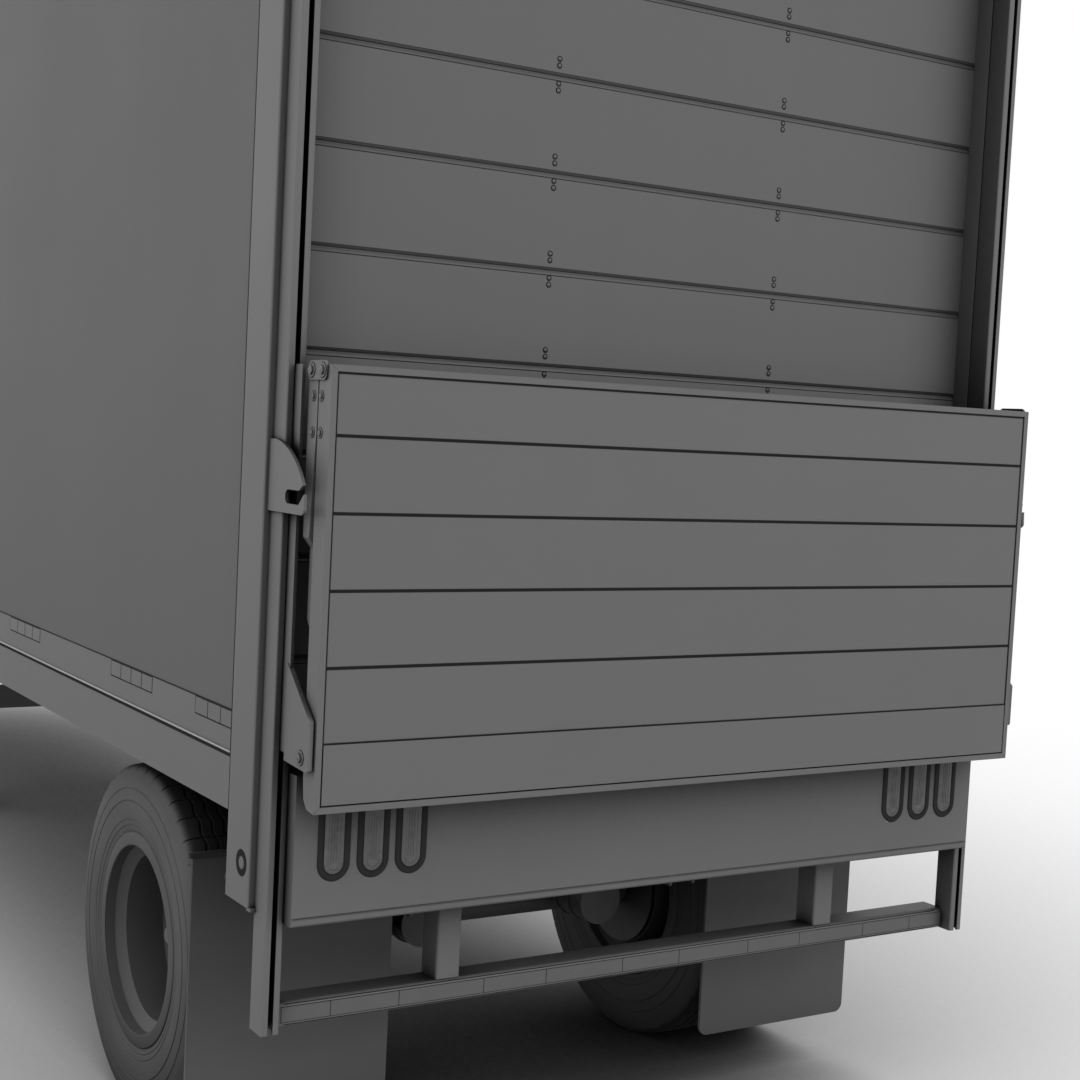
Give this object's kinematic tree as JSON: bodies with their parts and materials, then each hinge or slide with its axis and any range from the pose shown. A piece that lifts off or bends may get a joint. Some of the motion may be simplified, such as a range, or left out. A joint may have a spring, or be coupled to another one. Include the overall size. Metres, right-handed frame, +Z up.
{
  "type": "pup trailer",
  "caption": "Short single-axle box semi-trailer with dual wheels, roll-up rear door, landing gear and a rail lift gate with a folding two-section platform.",
  "frame": {"origin": "on the floor, at the middle of the overall length and width", "axes": "+Y forward towards the tractor, +X to the right-hand side, +Z up"},
  "size_m": [2.438, 8.845, 4.1148],
  "materials": {
    "body_panel": "smooth grey composite panel",
    "body_trim": "grey satin enamel on extrusions",
    "frame_steel": "dark chassis paint",
    "bare_steel": "bare worn steel",
    "floor_wood": "laminated hardwood",
    "door_panel": "grey satin enamel",
    "lift_steel": "grey satin enamel on steel",
    "lift_alloy": "dull extruded aluminium",
    "lamp_lens": "grey ribbed lens",
    "flap_rubber": "plain rubber sheet",
    "fittings": "dark paint",
    "tyre_rubber": "road tyre rubber",
    "wheel_paint": "grey wheel enamel",
    "drum_iron": "cast iron"
  },
  "bodies": {
    "chassis": {"air_tank": "fittings", "axle_beam": "frame_steel", "bed_apron": "lift_steel", "bottom_rails": "body_trim", "brake_chambers": "fittings", "flap_hangers": "fittings", "floor_crossmembers": "frame_steel", "floor_deck": "floor_wood", "front_corner_posts": "body_trim", "front_wall": "body_panel", "kingpin": "bare_steel", "landing_feet": "bare_steel", "landing_legs": "frame_steel", "leaf_springs": "bare_steel", "left_lift_rail": "lift_steel", "left_rear_post": "body_trim", "left_side_wall": "body_panel", "leg_brace": "frame_steel", "leg_crank": "bare_steel", "lock_hooks": "lift_steel", "mud_flaps": "flap_rubber", "nose_connectors": "fittings", "rear_header": "body_trim", "rear_sill": "frame_steel", "right_lift_rail": "lift_steel", "right_rear_post": "body_trim", "right_side_wall": "body_panel", "roll_up_door": "door_panel", "roof_panel": "body_panel", "spring_hangers": "frame_steel", "suspension_subframe": "frame_steel", "tail_lamps": "lamp_lens", "top_rails": "body_trim", "underride_guard": "lift_steel", "upper_coupler": "frame_steel"},
    "right_wheels": {"right_hub_drum": "drum_iron", "right_rims": "wheel_paint", "right_tyres": "tyre_rubber"},
    "left_wheels": {"left_hub_drum": "drum_iron", "left_rims": "wheel_paint", "left_tyres": "tyre_rubber"},
    "lift_carriage": {"right_runner": "lift_steel", "left_runner": "lift_steel"},
    "platform_main": {"main_frame": "lift_alloy", "main_planks": "lift_alloy"},
    "fold_links": {"fold_links": "lift_steel"},
    "platform_extension": {"extension_deck": "lift_alloy"}
  },
  "joints": [
    {"name": "right_wheel_spin", "type": "hinge", "parent": "chassis", "child": "right_wheels", "pos_m": [0.887, -3.1915, 0.525], "axis": [1, 0, 0], "continuous": true},
    {"name": "left_wheel_spin", "type": "hinge", "parent": "chassis", "child": "left_wheels", "pos_m": [-0.887, -3.1915, 0.525], "axis": [1, 0, 0], "continuous": true},
    {"name": "lift_slide", "type": "slide", "parent": "chassis", "child": "lift_carriage", "axis": [0, 0, 1], "range_m": [-1.15, 0]},
    {"name": "platform_fold", "type": "hinge", "parent": "lift_carriage", "child": "platform_main", "pos_m": [0, -4.407, 1.276], "axis": [1, 0, 0], "range_deg": [0, 90]},
    {"name": "link_fold", "type": "hinge", "parent": "platform_main", "child": "fold_links", "pos_m": [0, -4.3845, 2.218], "axis": [1, 0, 0], "range_deg": [0, 90]},
    {"name": "extension_fold", "type": "hinge", "parent": "fold_links", "child": "platform_extension", "pos_m": [0, -4.3245, 2.218], "axis": [1, 0, 0], "range_deg": [0, 90]}
  ],
  "couplings": [
    {"joint": "link_fold", "follows": "platform_fold", "ratio": 1},
    {"joint": "extension_fold", "follows": "platform_fold", "ratio": 1}
  ]
}
